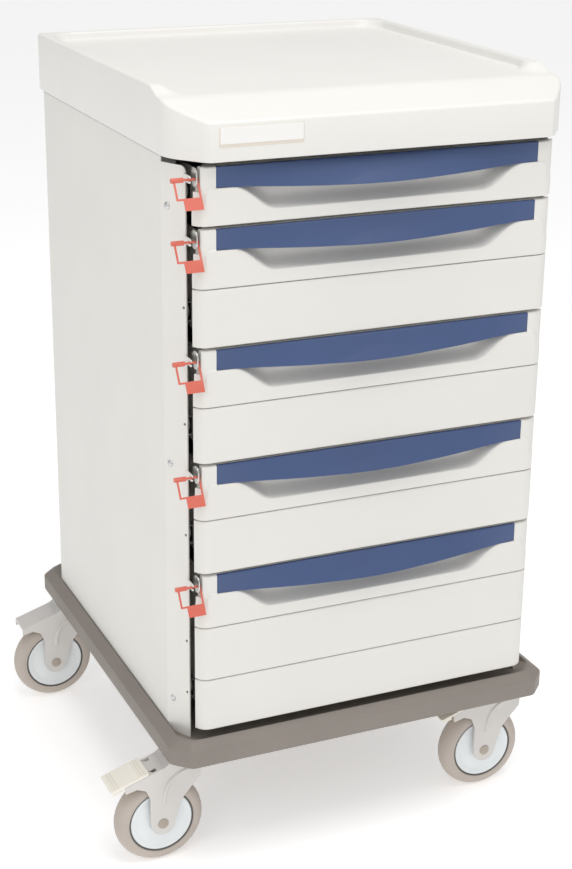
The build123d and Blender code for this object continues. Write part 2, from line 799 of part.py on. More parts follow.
def make_pedal(label, x, y):
    """Ribbed brake pedal over the fork, hinged on a pin between its legs, with a shoe for the tyre."""
    tip, heel = (x + pedal_tip[0], pedal_tip[1]), (x + pedal_heel[0], pedal_heel[1])
    slope = math.atan2(heel[1] - tip[1], heel[0] - tip[0])
    deck = Plane(origin=(tip[0], y, tip[1]), x_dir=(math.cos(slope), 0, math.sin(slope)),
                 z_dir=(-math.sin(slope), 0, math.cos(slope)))
    length = math.dist(tip, heel)
    pin_x, pin_z = x + pedal_pin[0], pedal_pin[1]
    lug_outer = fork_half_width - fork_sheet - 1
    with BuildPart() as pedal:
        with BuildSketch(deck):
            with Locations((length / 2, 0)):
                RectangleRounded(length, 2 * pedal_half_width, 3)
        extrude(amount=-pedal_sheet)
        with BuildSketch(deck.offset(-1)):
            with Locations((9, 0)):
                Rectangle(14, 2 * pedal_half_width - 4)
        extrude(amount=-7.5)
        with BuildSketch(deck):
            with Locations(*[(run, 0) for run in (6, 10, 14, length - 13, length - 9, length - 5)]):
                Rectangle(pedal_rib[0], 2 * pedal_half_width - 6)
        extrude(amount=pedal_rib[1])
        for near in (-lug_outer, lug_outer - 5):
            with BuildSketch(Plane.XZ.offset(-(y + near))):
                with Locations((pin_x, pin_z)):
                    Circle(4.8)
                with BuildLine():
                    Polyline((pin_x - 3, pin_z - 4), (pin_x + 2, pin_z + 4), (pin_x - 7, pin_z + 7),
                             (pin_x - 16, pin_z + 4), close=True)
                make_face()
            extrude(amount=-5)
        with BuildSketch(Plane.XZ.offset(-(y - 9))):
            with BuildLine():
                Polyline((x - 84, 136), (x - 80, 121), (x - 70, 121), (x - 64, 141), close=True)
            make_face()
        extrude(amount=-18)
        with BuildSketch(Plane.XZ.offset(-(y - 30))):
            with Locations((pin_x, pin_z)):
                Circle(pedal_pin_radius + running_clearance)
        extrude(amount=-60, mode=Mode.SUBTRACT)
    keep(pedal, f"brake_pedal_{label}")


def make_caster_plates(swivels):
    """Mounting plates with their bearing cups, kingpins and bolts under the base."""
    plate_low = base_bottom - 4
    cup_low = 161.0
    bolt_offset = 22.0
    with BuildPart() as plates:
        for _, x, y, _ in swivels:
            block((x - 30, y - 30, plate_low), (x + 30, y + 30, base_bottom))
            for radius, low, high in ((27, cup_low, plate_low), (kingpin_radius, 150, cup_low),
                                      (9, 147, 150.5)):
                with BuildSketch(Plane.XY.offset(low)):
                    with Locations((x, y)):
                        Circle(radius)
                extrude(amount=high - low)
            with BuildSketch(Plane.XY.offset(plate_low)):
                with Locations((x, y)):
                    with GridLocations(2 * bolt_offset, 2 * bolt_offset, 2, 2):
                        RegularPolygon(5, 6)
            extrude(amount=-3.5)
    keep(plates, "caster_plates")


# ------------------------------------------------------------------ the whole cart


def build_cabinet():
    """Everything that doesn't move."""
    make_base()
    make_side_panels()
    make_back_panel()
    make_top_plate()
    make_corner_flanges()
    make_screws()
    make_uprights()
    make_cabinet_rails()
    make_worktop()
    make_label()


def build_drawers():
    """Five drawers, each with its box, front, grip, hasp, rails and seal."""
    for number, (bottom, top) in enumerate(drawer_levels(), start=1):
        make_box(number, bottom, top)
        make_front(number, bottom, top)
        make_grip(number, top)
        make_hasp(number, top)
        make_drawer_rails(number, bottom)
        make_seal(number, top)


def caster_swivels():
    """Name, x, y and brake of each caster."""
    front, rear = swivel_y
    return [("front_left", -swivel_x, front, True), ("front_right", swivel_x, front, True),
            ("rear_left", -swivel_x, rear, False), ("rear_right", swivel_x, rear, False)]


def build_casters():
    """Four swivel casters, the front pair with brakes."""
    make_caster_plates(caster_swivels())
    for label, x, y, braked in caster_swivels():
        make_fork(label, x, y, braked)
        make_axle(label, x, y)
        make_wheel(label, x, y)
        if braked:
            make_pedal(label, x, y)


def origin_shift():
    """Move from the cart's own layout to an origin at the bottom centre of its bounding box."""
    boxes = [piece.bounding_box() for piece in pieces.values()]
    middle = [
        (min(tuple(box.min)[axis] for box in boxes) + max(tuple(box.max)[axis] for box in boxes)) / 2
        for axis in (0, 1)
    ]
    floor = min(box.min.Z for box in boxes)
    return Vector(-middle[0], -middle[1], -floor)


def write_parts(shift):
    """Write every piece, moved to the final origin, to its own STEP file."""
    os.makedirs("parts", exist_ok=True)
    for label, piece in pieces.items():
        placed = piece.moved(Location(shift))
        placed.label = label
        export_step(placed, f"parts/{label}.step")


build_cabinet()
build_drawers()
build_casters()
row_shift = origin_shift()
print("shift to the final origin:", [round(value, 3) for value in tuple(row_shift)])
write_parts(row_shift)
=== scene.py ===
"""Looks of the instrument cart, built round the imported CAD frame. Lengths in the helpers are millimetres."""

import json
import math

import bmesh
import bpy
from mathutils import Matrix, Vector


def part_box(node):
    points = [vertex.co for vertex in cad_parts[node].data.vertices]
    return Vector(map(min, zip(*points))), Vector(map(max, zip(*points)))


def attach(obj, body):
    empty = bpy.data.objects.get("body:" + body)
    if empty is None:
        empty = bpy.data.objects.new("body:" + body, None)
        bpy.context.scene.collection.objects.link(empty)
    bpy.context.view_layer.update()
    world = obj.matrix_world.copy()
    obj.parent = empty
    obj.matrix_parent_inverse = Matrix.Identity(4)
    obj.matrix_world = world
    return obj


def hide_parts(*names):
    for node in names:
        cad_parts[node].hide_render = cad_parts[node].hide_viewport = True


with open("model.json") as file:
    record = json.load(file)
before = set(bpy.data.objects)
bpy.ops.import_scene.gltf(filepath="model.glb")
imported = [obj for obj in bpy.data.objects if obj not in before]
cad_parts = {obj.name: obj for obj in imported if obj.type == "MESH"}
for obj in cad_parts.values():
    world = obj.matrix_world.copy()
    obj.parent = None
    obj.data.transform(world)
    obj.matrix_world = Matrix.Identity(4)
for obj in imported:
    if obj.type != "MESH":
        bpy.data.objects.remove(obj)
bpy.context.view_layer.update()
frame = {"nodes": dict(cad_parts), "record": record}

MM = 0.001
CASTER_TRAIL = 33.2
DRAWERS = range(1, 6)
CASTERS = ("front_left", "front_right", "rear_left", "rear_right")


def box_mm(node):
    """Lowest and highest corner of a CAD node, in millimetres."""
    low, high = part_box(node)
    return Vector(low) / MM, Vector(high) / MM


FRONT_LOW, FRONT_HIGH = box_mm("drawer_1_front")
CENTRE_X = (FRONT_LOW.x + FRONT_HIGH.x) / 2
FRONT_Y = FRONT_LOW.y


def place(x, y, z):
    """A point given from the cart's centre plane, drawer-front plane and floor, in metres."""
    return Vector(((x + CENTRE_X) * MM, (y + FRONT_Y) * MM, z * MM))


def smoothstep(low, high, value):
    """0 below low, 1 above high, smooth between."""
    t = min(max((value - low) / (high - low), 0.0), 1.0)
    return t * t * (3 - 2 * t)


def stations(low, high, step):
    """Evenly spaced values from low to high, no further apart than step."""
    count = max(1, math.ceil(abs(high - low) / step))
    return [low + (high - low) * i / count for i in range(count + 1)]


# ------------------------------------------------------------------ materials


def new_material(name, roughness, metallic=0.0):
    """A Principled material with its nodes and links."""
    material = bpy.data.materials.new(name)
    material.use_nodes = True
    nodes, links = material.node_tree.nodes, material.node_tree.links
    shader = nodes["Principled BSDF"]
    shader.inputs["Metallic"].default_value = metallic
    shader.inputs["Roughness"].default_value = roughness
    return material, nodes, links, shader


def noise(nodes, links, scale, detail=3.0):
    """A noise texture in object space; scale is repeats per metre."""
    place_node = nodes.new("ShaderNodeTexCoord")
    texture = nodes.new("ShaderNodeTexNoise")
    texture.inputs["Scale"].default_value = scale
    texture.inputs["Detail"].default_value = detail
    links.new(place_node.outputs["Object"], texture.inputs["Vector"])
    return texture


def finish_material(name, colour, roughness, grain, depth, spread=0.05, metallic=0.0, cloud=9.0, coat=0.0):
    """A moulded, painted or plated finish: clouded colour, uneven gloss and a fine grain in the surface."""
    material, nodes, links, shader = new_material(name, roughness, metallic)
    clouds = noise(nodes, links, cloud)
    ramp = nodes.new("ShaderNodeValToRGB")
    dark = [c * (1 - spread) for c in colour]
    light = [min(1.0, c * (1 + spread)) for c in colour]
    ramp.color_ramp.elements[0].position = 0.3
    ramp.color_ramp.elements[1].position = 0.7
    ramp.color_ramp.elements[0].color = (*dark, 1)
    ramp.color_ramp.elements[1].color = (*light, 1)
    links.new(clouds.outputs["Fac"], ramp.inputs["Fac"])
    links.new(ramp.outputs["Color"], shader.inputs["Base Color"])
    gloss = nodes.new("ShaderNodeMapRange")
    gloss.inputs["To Min"].default_value = roughness - 0.06
    gloss.inputs["To Max"].default_value = roughness + 0.06
    smudges = noise(nodes, links, cloud * 3)
    links.new(smudges.outputs["Fac"], gloss.inputs["Value"])
    links.new(gloss.outputs["Result"], shader.inputs["Roughness"])
    texture = noise(nodes, links, grain, 2.0)
    bump = nodes.new("ShaderNodeBump")
    bump.inputs["Strength"].default_value = 0.35
    bump.inputs["Distance"].default_value = depth
    links.new(texture.outputs["Fac"], bump.inputs["Height"])
    links.new(bump.outputs["Normal"], shader.inputs["Normal"])
    shader.inputs["Coat Weight"].default_value = coat
    return material


MATERIALS = {
    "panel_paint": finish_material("panel_paint", (0.76, 0.745, 0.705), 0.45, 1500, 0.00006, 0.015),
    "front_plastic": finish_material("front_plastic", (0.745, 0.73, 0.69), 0.42, 1800, 0.00005, 0.012),
    "top_plastic": finish_material("top_plastic", (0.785, 0.772, 0.735), 0.40, 900, 0.00005, 0.010),
    "grip_blue": finish_material("grip_blue", (0.050, 0.084, 0.195), 0.46, 1800, 0.00006, 0.05),
    "base_taupe": finish_material("base_taupe", (0.243, 0.212, 0.187), 0.58, 1200, 0.00015, 0.04),
    "seal_coral": finish_material("seal_coral", (0.66, 0.145, 0.10), 0.42, 1500, 0.00004, 0.04),
    "label_blank": finish_material("label_blank", (0.70, 0.64, 0.56), 0.38, 900, 0.00003, 0.02),
    "steel": finish_material("steel", (0.62, 0.62, 0.60), 0.30, 2400, 0.00003, 0.06, 1.0, 30),
    "zinc": finish_material("zinc", (0.60, 0.61, 0.61), 0.38, 700, 0.00004, 0.12, 1.0, 60),
    "box_plastic": finish_material("box_plastic", (0.74, 0.73, 0.69), 0.45, 1500, 0.00006, 0.02),
    "fork_paint": finish_material("fork_paint", (0.66, 0.635, 0.61), 0.4, 1400, 0.00005, 0.03, 0.0, 20, 0.1),
    "hub_white": finish_material("hub_white", (0.80, 0.83, 0.84), 0.38, 1500, 0.00005, 0.02),
    "tyre_grey": finish_material("tyre_grey", (0.50, 0.44, 0.39), 0.62, 1600, 0.00012, 0.05),
    "pedal_cream": finish_material("pedal_cream", (0.84, 0.80, 0.72), 0.42, 1500, 0.00008, 0.03),
    "ring_dark": finish_material("ring_dark", (0.10, 0.095, 0.09), 0.6, 1500, 0.00008, 0.08),
    "cap_taupe": finish_material("cap_taupe", (0.42, 0.36, 0.30), 0.5, 1500, 0.00008, 0.05),
    "plate_white": finish_material("plate_white", (0.83, 0.82, 0.80), 0.35, 900, 0.00003, 0.01),
    "back_dark": finish_material("back_dark", (0.07, 0.07, 0.07), 0.5, 1500, 0.00006, 0.08),
}
SLOT_OF = {entry["node"]: entry["material_slot"] for entry in frame["record"]["subparts"]}


# ------------------------------------------------------------------ building meshes


def mesh_piece(name, points, faces, body, slot_name, replaced=(), sharp=32.0, merge=0.02):
    """A mesh piece from points in cart millimetres, riding on a body."""
    mesh = bpy.data.meshes.new(name)
    mesh.from_pydata([place(*p) for p in points], [], faces)
    work = bmesh.new()
    work.from_mesh(mesh)
    bmesh.ops.remove_doubles(work, verts=work.verts, dist=merge * MM)
    bmesh.ops.dissolve_degenerate(work, edges=work.edges, dist=0.004 * MM)
    bmesh.ops.recalc_face_normals(work, faces=work.faces)
    work.to_mesh(mesh)
    work.free()
    mesh.shade_smooth()
    mesh.set_sharp_from_angle(angle=math.radians(sharp))
    piece = bpy.data.objects.new(name, mesh)
    bpy.context.scene.collection.objects.link(piece)
    mesh.materials.append(MATERIALS[slot_name])
    if replaced:
        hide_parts(*replaced)
    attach(piece, body)
    return piece


def grid_faces(columns, rows, start=0, wrap_rows=False, wrap_columns=False):
    """Quads over points stored column by column."""
    faces = []
    for c in range(columns if wrap_columns else columns - 1):
        near, far = start + c * rows, start + ((c + 1) % columns) * rows
        for r in range(rows if wrap_rows else rows - 1):
            up = (r + 1) % rows
            faces.append((near + r, far + r, far + up, near + up))
    return faces


def soften(node, width, segments=3, angle=25.0):
    """Rounds a carried-over CAD node's edges with modifiers, and gives it its material."""
    piece = frame["nodes"][node]
    piece.data.materials.clear()
    piece.data.materials.append(MATERIALS["back_dark" if node == "back_panel" else SLOT_OF[node]])
    if width:
        weld = piece.modifiers.new("weld", "WELD")
        weld.merge_threshold = 0.00001
        flat = piece.modifiers.new("flat", "DECIMATE")
        flat.decimate_type = "DISSOLVE"
        flat.angle_limit = math.radians(1.0)
        bevel = piece.modifiers.new("bevel", "BEVEL")
        bevel.width = width * MM
        bevel.segments = segments
        bevel.limit_method = "ANGLE"
        bevel.angle_limit = math.radians(angle)
        bevel.harden_normals = False
    return piece


def rounded_plate(points, faces, low, high, front, back, corner, bevel):
    """Adds a plate with rounded corners and a bevelled face, standing in the XZ plane."""
    start, outline = len(points), []
    centres = ((high[0], high[1]), (low[0], high[1]), (low[0], low[1]), (high[0], low[1]))
    for quarter, (cx, cz) in enumerate(centres):
        sx, sz = (1, 1, -1, -1)[(quarter + 3) % 4], (1, 1, -1, -1)[quarter]
        for step in range(5):
            turn = math.radians(90 * quarter + 90 * step / 4)
            across = cx - sx * corner + corner * math.cos(turn)
            up = cz - sz * corner + corner * math.sin(turn)
            outline.append((across, up))
    centre = ((low[0] + high[0]) / 2, (low[1] + high[1]) / 2)
    for y, inset in ((back, 0.0), (front + bevel, 0.0), (front, bevel)):
        for x, z in outline:
            dx, dz = x - centre[0], z - centre[1]
            points.append((x - math.copysign(inset, dx), y, z - math.copysign(inset, dz)))
    count = len(outline)
    for ring in range(2):
        for i in range(count):
            after = (i + 1) % count
            a, b = start + ring * count, start + (ring + 1) * count
            faces.append((a + i, a + after, b + after, b + i))
    faces.append(tuple(range(start, start + count)))
    faces.append(tuple(range(start + 2 * count, start + 3 * count)))


# ------------------------------------------------------------------ drawer fronts

HALF_WIDTH = (FRONT_HIGH.x - FRONT_LOW.x) / 2
MODULE = 76.2
TOP_MARGIN, BOTTOM_MARGIN, SEAM = 2.0, 2.2, 1.0
CORNER = 18.0
FRONT_BACK = 22.0
END_BACK = 13.0
HOUSING_HALF, HOUSING_BACK = 214.0, 33.0
EDGE_ROUND = 2.2
GRIP_LOW, GRIP_HIGH = box_mm("drawer_1_grip")
GRIP_HALF = (GRIP_HIGH.x - GRIP_LOW.x) / 2 + 0.1
GRIP_FACE = 1.9
GRIP_BOTTOM = 26.1
GRIP_SAG = 6.0
SAG_HALF = 190.0
SCOOP_FLOOR = 55.9
SCOOP_DEPTH = 19.5
NOTCH_X = -241.5
NOTCH_BOTTOM = 30.0


def front_columns():
    """Plan stations round a drawer front: (distance from the middle, x, y, inward normal x, y, back)."""
    flat = HALF_WIDTH - CORNER
    right = [(x, x, 0.0, 0.0, 1.0, HOUSING_BACK) for x in stations(0.0, HOUSING_HALF, 3.0)]
    right += [(x, x, 0.0, 0.0, 1.0, FRONT_BACK) for x in stations(HOUSING_HALF + 0.1, GRIP_HALF - 0.15, 3.0)]
    right += [(x, x, 0.0, 0.0, 1.0, FRONT_BACK) for x in stations(GRIP_HALF + 0.05, flat, 1.6)]
    last = math.acos(1 - END_BACK / CORNER)
    for step in range(1, 15):
        turn = last * step / 14
        x, y = flat + CORNER * math.sin(turn), CORNER - CORNER * math.cos(turn)
        right.append((flat + CORNER * turn, x, y, -math.sin(turn), math.cos(turn), END_BACK))
    left = [(-s, -x, y, -nx, ny, back) for s, x, y, nx, ny, back in reversed(right[1:])]
    return left + right


def panel_rows(height, handle):
    """Distances down from the panel's top edge."""
    ends = [0.0, 0.15, 0.5, 1.0, 1.6, EDGE_ROUND]
    bottom = [height - value for value in reversed(ends)]
    if not handle:
        return ends + stations(7.0, height - 7.0, 8.0) + bottom
    rows = ends + stations(4.0, GRIP_BOTTOM - 0.1, 1.8)
    rows += stations(GRIP_BOTTOM + 0.1, NOTCH_BOTTOM, 1.0)
    rows += stations(NOTCH_BOTTOM + 0.3, SCOOP_FLOOR + 2.5, 0.9)
    rows += stations(SCOOP_FLOOR + 4.5, height - 4.0, 3.0)
    return rows + bottom


def band_depth(along, down):
    """The end caps beside the grip are set back; the proud plate below has rounded top corners."""
    across, under = abs(along) - 228.0, 34.1 - down
    outside = math.hypot(max(across, 0), max(under, 0)) + min(max(across, under), 0) - 8.0
    fade = 1 - smoothstep(35.0, 52.0, down)
    return GRIP_FACE * smoothstep(-0.5, 1.2, outside) * fade


def scoop_depth(along, down):
    """Bowl of the finger scoop, bounded below by a flat floor that sweeps up to the grip at both ends."""
    rise = smoothstep(144.0, 199.0, abs(along))
    edge = SCOOP_FLOOR - (SCOOP_FLOOR - GRIP_BOTTOM + 0.4) * rise
    slope = 1.5 * (SCOOP_FLOOR - GRIP_BOTTOM) / 55.0 * 4 * rise * (1 - rise)
    inside = (edge - down) / math.hypot(1, slope)
    if inside < -1:
        return 0.0
    if inside < 1:
        inside = (inside + 1) ** 2 / 4
    share = min(inside / 18.0, 1.0)
    ceiling = smoothstep(3.5, 6.5, down)
    ends = 1 - smoothstep(196.0, 208.0, abs(along))
    return SCOOP_DEPTH * (1 - (1 - share) ** 2.8) * ceiling * ends


def edge_depth(down, height):
    """Rounding of a panel's top and bottom edges."""
    near = min(down, height - down)
    if near >= EDGE_ROUND:
        return 0.0
    return EDGE_ROUND - math.sqrt(EDGE_ROUND**2 - (EDGE_ROUND - near) ** 2)


def panel_depth(along, down, height, handle):
    """How far the surface lies behind the panel's plain outline."""
    depth = edge_depth(down, height)
    if handle:
        features = [band_depth(along, down), scoop_depth(along, down)]
        if abs(along) < GRIP_HALF and down < GRIP_BOTTOM:
            features.append(6.0)
        depth += max(features)
    return min(depth, FRONT_BACK - 1.5)


def panel_mesh(top, height, handle, points, faces):
    """Adds one module's closed panel to a drawer front."""
    columns, rows = front_columns(), panel_rows(height, handle)
    start = len(points)
    for along, x, y, inward_x, inward_y, back in columns:
        for down in rows:
            depth = panel_depth(along, down, height, handle)
            px, py = x + inward_x * depth, y + inward_y * depth
            if handle and down <= NOTCH_BOTTOM:
                px = max(px, NOTCH_X)
            points.append((px, min(py, back), top - down))
        behind = min(back, FRONT_BACK) if not handle else back
        for level in (top - height, top):
            points.append((max(x, NOTCH_X) if handle and level == top else x, behind, level))
    faces += grid_faces(len(columns), len(rows) + 2, start, wrap_rows=True)


def drawer_front(number):
    """Handle panel and plain panels of one drawer."""
    low, high = box_mm(f"drawer_{number}_front")
    line = high.z + TOP_MARGIN
    count = round((high.z - low.z + TOP_MARGIN + BOTTOM_MARGIN) / MODULE)
    points, faces = [], []
    for index in range(count):
        top = high.z if index == 0 else line - index * MODULE - SEAM / 2
        bottom = low.z if index == count - 1 else line - (index + 1) * MODULE + SEAM / 2
        panel_mesh(top, top - bottom, index == 0, points, faces)
    return mesh_piece(f"drawer_{number}_moulded_front", points, faces, f"drawer_{number}", "front_plastic",
                      [f"drawer_{number}_front"], sharp=38.0)


def grip_swell(x, share):
    """How far the grip stands forward of its seat at x, a share of the way down it."""
    bow = max(1 - (x / GRIP_HALF) ** 2, 0.0) ** 1.15
    plate = 17.2 * bow * share
    facet = 18.8 - 0.00077 * x**2 - 20.0 * (1 - share)
    return max(plate, facet)


def drawer_grip(number):
    """Coloured grip: a bevelled top edge, a bowed lower edge and a faint thumb facet in the middle."""
    top = box_mm(f"drawer_{number}_grip")[1].z
    half, back = GRIP_HALF - 0.15, 5.9
    columns = stations(-half, half, 2.0)
    shares = stations(0.055, 0.965, 0.045)
    points = []
    for x in columns:
        sag = GRIP_SAG * max(1 - (x / SAG_HALF) ** 2, 0.0) ** 1.3
        tall = GRIP_BOTTOM - 0.1 + sag
        points += [(x, back, top), (x, GRIP_FACE + 0.9, top)]
        points += [(x, GRIP_FACE + 0.3, top - 0.3), (x, GRIP_FACE, top - 0.9)]
        points += [(x, GRIP_FACE - grip_swell(x, share), top - share * tall) for share in shares]
        face = GRIP_FACE - grip_swell(x, 1.0)
        points += [(x, face + 0.4, top - tall + 0.25)]
        points += [(x, min(face + 1.6, back), top - tall), (x, back, top - tall)]
    rows = len(points) // len(columns)
    faces = grid_faces(len(columns), rows, wrap_rows=True)
    faces.append(tuple(range(rows)))
    faces.append(tuple(range(len(points) - rows, len(points))))
    return mesh_piece(f"drawer_{number}_moulded_grip", points, faces, f"drawer_{number}", "grip_blue",
                      [f"drawer_{number}_grip"], sharp=28.0)


# ------------------------------------------------------------------ worktop

TOP_LOW, TOP_HIGH = box_mm("worktop")
TOP_HALF = (TOP_HIGH.x - TOP_LOW.x) / 2
TOP_FRONT, TOP_BACK = TOP_LOW.y - FRONT_Y, TOP_HIGH.y - FRONT_Y
SURFACE = TOP_HIGH.z - 10.3
NOSE = TOP_HIGH.z - 31.8
CHAMFER_Y = 36.0
CHAMFER_X = 237.0
RIM = 12.0
RIM_BACK, RIM_FRONT = 93.0, 60.0
SLOPE_END = 52.0
TOP_CORNER = 10.0
CHAMFER_SOFTNESS = 13.0


def top_half_width(y):
    """Half width of the worktop at y, across the cut front corners."""
    run = (y - TOP_FRONT) / (CHAMFER_Y - TOP_FRONT)
    straight = CHAMFER_X + (TOP_HALF - CHAMFER_X) * min(run, 1.0)
    soft = CHAMFER_SOFTNESS
    gap = CHAMFER_X + (TOP_HALF - CHAMFER_X) * run - TOP_HALF
    blunt = max(7.0 - (y - TOP_FRONT), 0.0) ** 2 / 14.0
    if abs(gap) < soft:
        return TOP_HALF - (soft - gap) ** 2 / (4 * soft)
    return straight - blunt


def edge_distance(x, y):
    """Distance in from the worktop's outline."""
    corner = TOP_CORNER
    across, behind = abs(x) - (TOP_HALF - corner), y - (TOP_BACK - corner)
    rounded = corner - math.hypot(max(across, 0), max(behind, 0)) - min(max(across, behind), 0)
    slant = (top_half_width(y) - abs(x)) * 0.79 if y < CHAMFER_Y + 18 else rounded
    return max(min(rounded, slant, y - TOP_FRONT), 0.0)


def top_level(x, y):
    """Height of the worktop's upper surface."""
    slope = NOSE + (SURFACE - NOSE) * smooth_ramp(y)
    inner_x, inner_y, inner_corner = TOP_HALF - RIM, TOP_BACK - RIM, 38.0
    across, behind = abs(x) - (inner_x - inner_corner), y - (inner_y - inner_corner)
    outside = math.hypot(max(across, 0), max(behind, 0)) + min(max(across, behind), 0) - inner_corner
    taper = 2.4 + 26.0 * (1 - smoothstep(84.0, 128.0, y))
    wall = smoothstep(-taper, 0.4, outside)
    rim = (TOP_HIGH.z - SURFACE) * smoothstep(RIM_FRONT - 2, RIM_BACK, y) * wall
    round_over = 3.2
    near = edge_distance(x, y)
    drop = 0.0
    if near < round_over:
        drop = round_over - math.sqrt(round_over**2 - (round_over - near) ** 2)
    return slope + rim - drop


def smooth_ramp(y):
    """0 at the nose to 1 where the flat surface starts, easing into the flat."""
    run = (y - TOP_FRONT) / (SLOPE_END - TOP_FRONT)
    if run < 0.85:
        return run
    return 1 - max(1.15 - run, 0.0) ** 2 / 0.6


def worktop():
    """Moulded worktop with its rim, sloped nose and hollow underside."""
    edges = [0.0, 0.15, 0.5, 1.1, 2.0, 3.2, 5.0, 7.5, 10.0, 11.2, 12.0, 12.8, 13.6, 14.6]
    half = [1 - value / TOP_HALF for value in edges] + stations((TOP_HALF - 16.5) / TOP_HALF, 0.76, 0.0055)
    half += stations(0.74, 0.0, 0.04)
    across = [-value for value in half] + list(reversed(half[:-1]))
    lines = [TOP_FRONT + value for value in edges[:8]] + stations(TOP_FRONT + 10, 150.0, 3.0)
    lines += stations(158.0, TOP_BACK - 56, 9.0) + stations(TOP_BACK - 54, TOP_BACK - 16, 1.5)
    lines += [TOP_BACK - value for value in reversed(edges)]
    corner = TOP_CORNER
    points = []
    for share in across:
        for y in lines:
            width = top_half_width(y)
            behind = max(y - (TOP_BACK - corner), 0.0)
            width -= corner - math.sqrt(max(corner**2 - behind**2, 0.0))
            x = share * width
            points.append((x, y, top_level(x, y)))
    rows, columns = len(lines), len(across)
    faces = grid_faces(columns, rows)
    rim = [c * rows for c in range(columns)] + [(columns - 1) * rows + r for r in range(1, rows)]
    rim += [c * rows + rows - 1 for c in range(columns - 2, -1, -1)] + list(range(rows - 2, 0, -1))
    centre = Vector((0.0, (TOP_FRONT + TOP_BACK) / 2, 0.0))
    loops = [rim]
    for level, inset in ((TOP_LOW.z + 1.6, 0.0), (TOP_LOW.z + 0.5, 0.5), (TOP_LOW.z, 1.6), (TOP_LOW.z, 6.0),
                         (SURFACE - 24.0, 7.0)):
        loop = []
        for index in rim:
            x, y, _ = points[index]
            pull_x, pull_y = 1 - inset / TOP_HALF, 1 - inset / (TOP_BACK - centre.y)
            loop.append(len(points))
            points.append((x * pull_x, centre.y + (y - centre.y) * pull_y, level))
        loops.append(loop)
    for upper, lower in zip(loops, loops[1:]):
        for i in range(len(rim)):
            after = (i + 1) % len(rim)
            faces.append((upper[i], upper[after], lower[after], lower[i]))
    faces.append(tuple(loops[-1]))
    replaced = ["worktop"]
    return mesh_piece("worktop_moulding", points, faces, "cabinet", "top_plastic", replaced, 50.0, 0.004)


# ------------------------------------------------------------------ base

BASE_LOW, BASE_HIGH = box_mm("base_tray")
BASE_HALF = (BASE_HIGH.x - BASE_LOW.x) / 2
BASE_FRONT, BASE_BACK = BASE_LOW.y - FRONT_Y, BASE_HIGH.y - FRONT_Y


def base_loop(half, front, back, corner, level):
    """An outline with four cut corners, each end of a cut eased by a short curve."""
    ends = [(half - corner, front), (half, front + corner), (half, back - corner), (half - corner, back)]
    ends += [(-x, y) for x, y in reversed(ends)]
    loop = []
    for index, corner_point in enumerate(ends):
        here = Vector(corner_point)
        before = Vector(ends[index - 1])
        after = Vector(ends[(index + 1) % len(ends)])
        enter = here + (before - here).normalized() * 5.0
        leave = here + (after - here).normalized() * 5.0
        for step in range(6):
            t = step / 5
            point = enter * (1 - t) ** 2 + here * 2 * t * (1 - t) + leave * t**2
            loop.append((point.x, point.y, level))
    return loop


def base():
    """Bumper base: an upright side, a bevel up to the crest, and a tray that dips gently behind it."""
    crest, floor = BASE_HIGH.z, BASE_HIGH.z - 9.5
    side = BASE_HIGH.z - 10.0
    outer = [(3.0, BASE_LOW.z), (1.0, BASE_LOW.z + 0.6), (0.2, BASE_LOW.z + 1.8), (0.0, BASE_LOW.z + 3.4),
             (0.0, side - 1.6), (0.25, side - 0.4), (1.0, side + 0.55), (12.4, crest - 1.35),
             (13.5, crest - 0.5), (14.3, crest - 0.1), (14.9, crest)]
    inner = [(272.6, 2.0, 561.2, 21.3, crest), (272.0, 2.7, 560.7, 21.0, crest - 0.35),
             (271.9, 4.5, 560.6, 21.5, crest - 1.5), (271.8, 14.0, 560.5, 22.0, crest - 6.0),
             (271.7, 24.0, 560.4, 24.0, floor + 0.6), (271.6, 34.0, 560.3, 30.0, floor)]
    loops = [base_loop(BASE_HALF - inset, BASE_FRONT + inset, BASE_BACK - inset, 24.0 - 0.586 * inset, level)
             for inset, level in outer]
    loops += [base_loop(*entry) for entry in inner]
    count = len(loops[0])
    points = [point for loop in loops for point in loop]
    faces = grid_faces(len(loops), count, wrap_rows=True)
    faces.append(tuple(range(count)))
    faces.append(tuple(range(len(points) - count, len(points))))
    return mesh_piece("moulded_base", points, faces, "cabinet", "base_taupe", ["base_tray"], sharp=40.0)


# ------------------------------------------------------------------ casters, screws and label


def lathe(name, profile, centre, body, slot_name, replaced=(), segments=96, sharp=35.0):
    """A solid turned about an axis along Y; profile is a closed list of (radius, y) in millimetres."""
    points = []
    for step in range(segments):
        turn = 2 * math.pi * step / segments
        for radius, y in profile:
            points.append((centre.x - CENTRE_X + radius * math.cos(turn), centre.y - FRONT_Y + y,
                           centre.z + radius * math.sin(turn)))
    faces = grid_faces(segments, len(profile), wrap_rows=True, wrap_columns=True)
    return mesh_piece(name, points, faces, body, slot_name, replaced, sharp)


def tyre_profile():
    """Half-round crown on a straight bead."""
    outer, inner, half = 63.5, 46.9, 16.0
    profile = [(inner, -half + 0.8), (inner + 0.8, -half)]
    for step in range(19):
        turn = math.radians(-90 + 10 * step)
        profile.append((outer - 13.0 + 13.0 * math.cos(turn), half * math.sin(turn)))
    return profile + [(inner + 0.8, half), (inner, half - 0.8)]


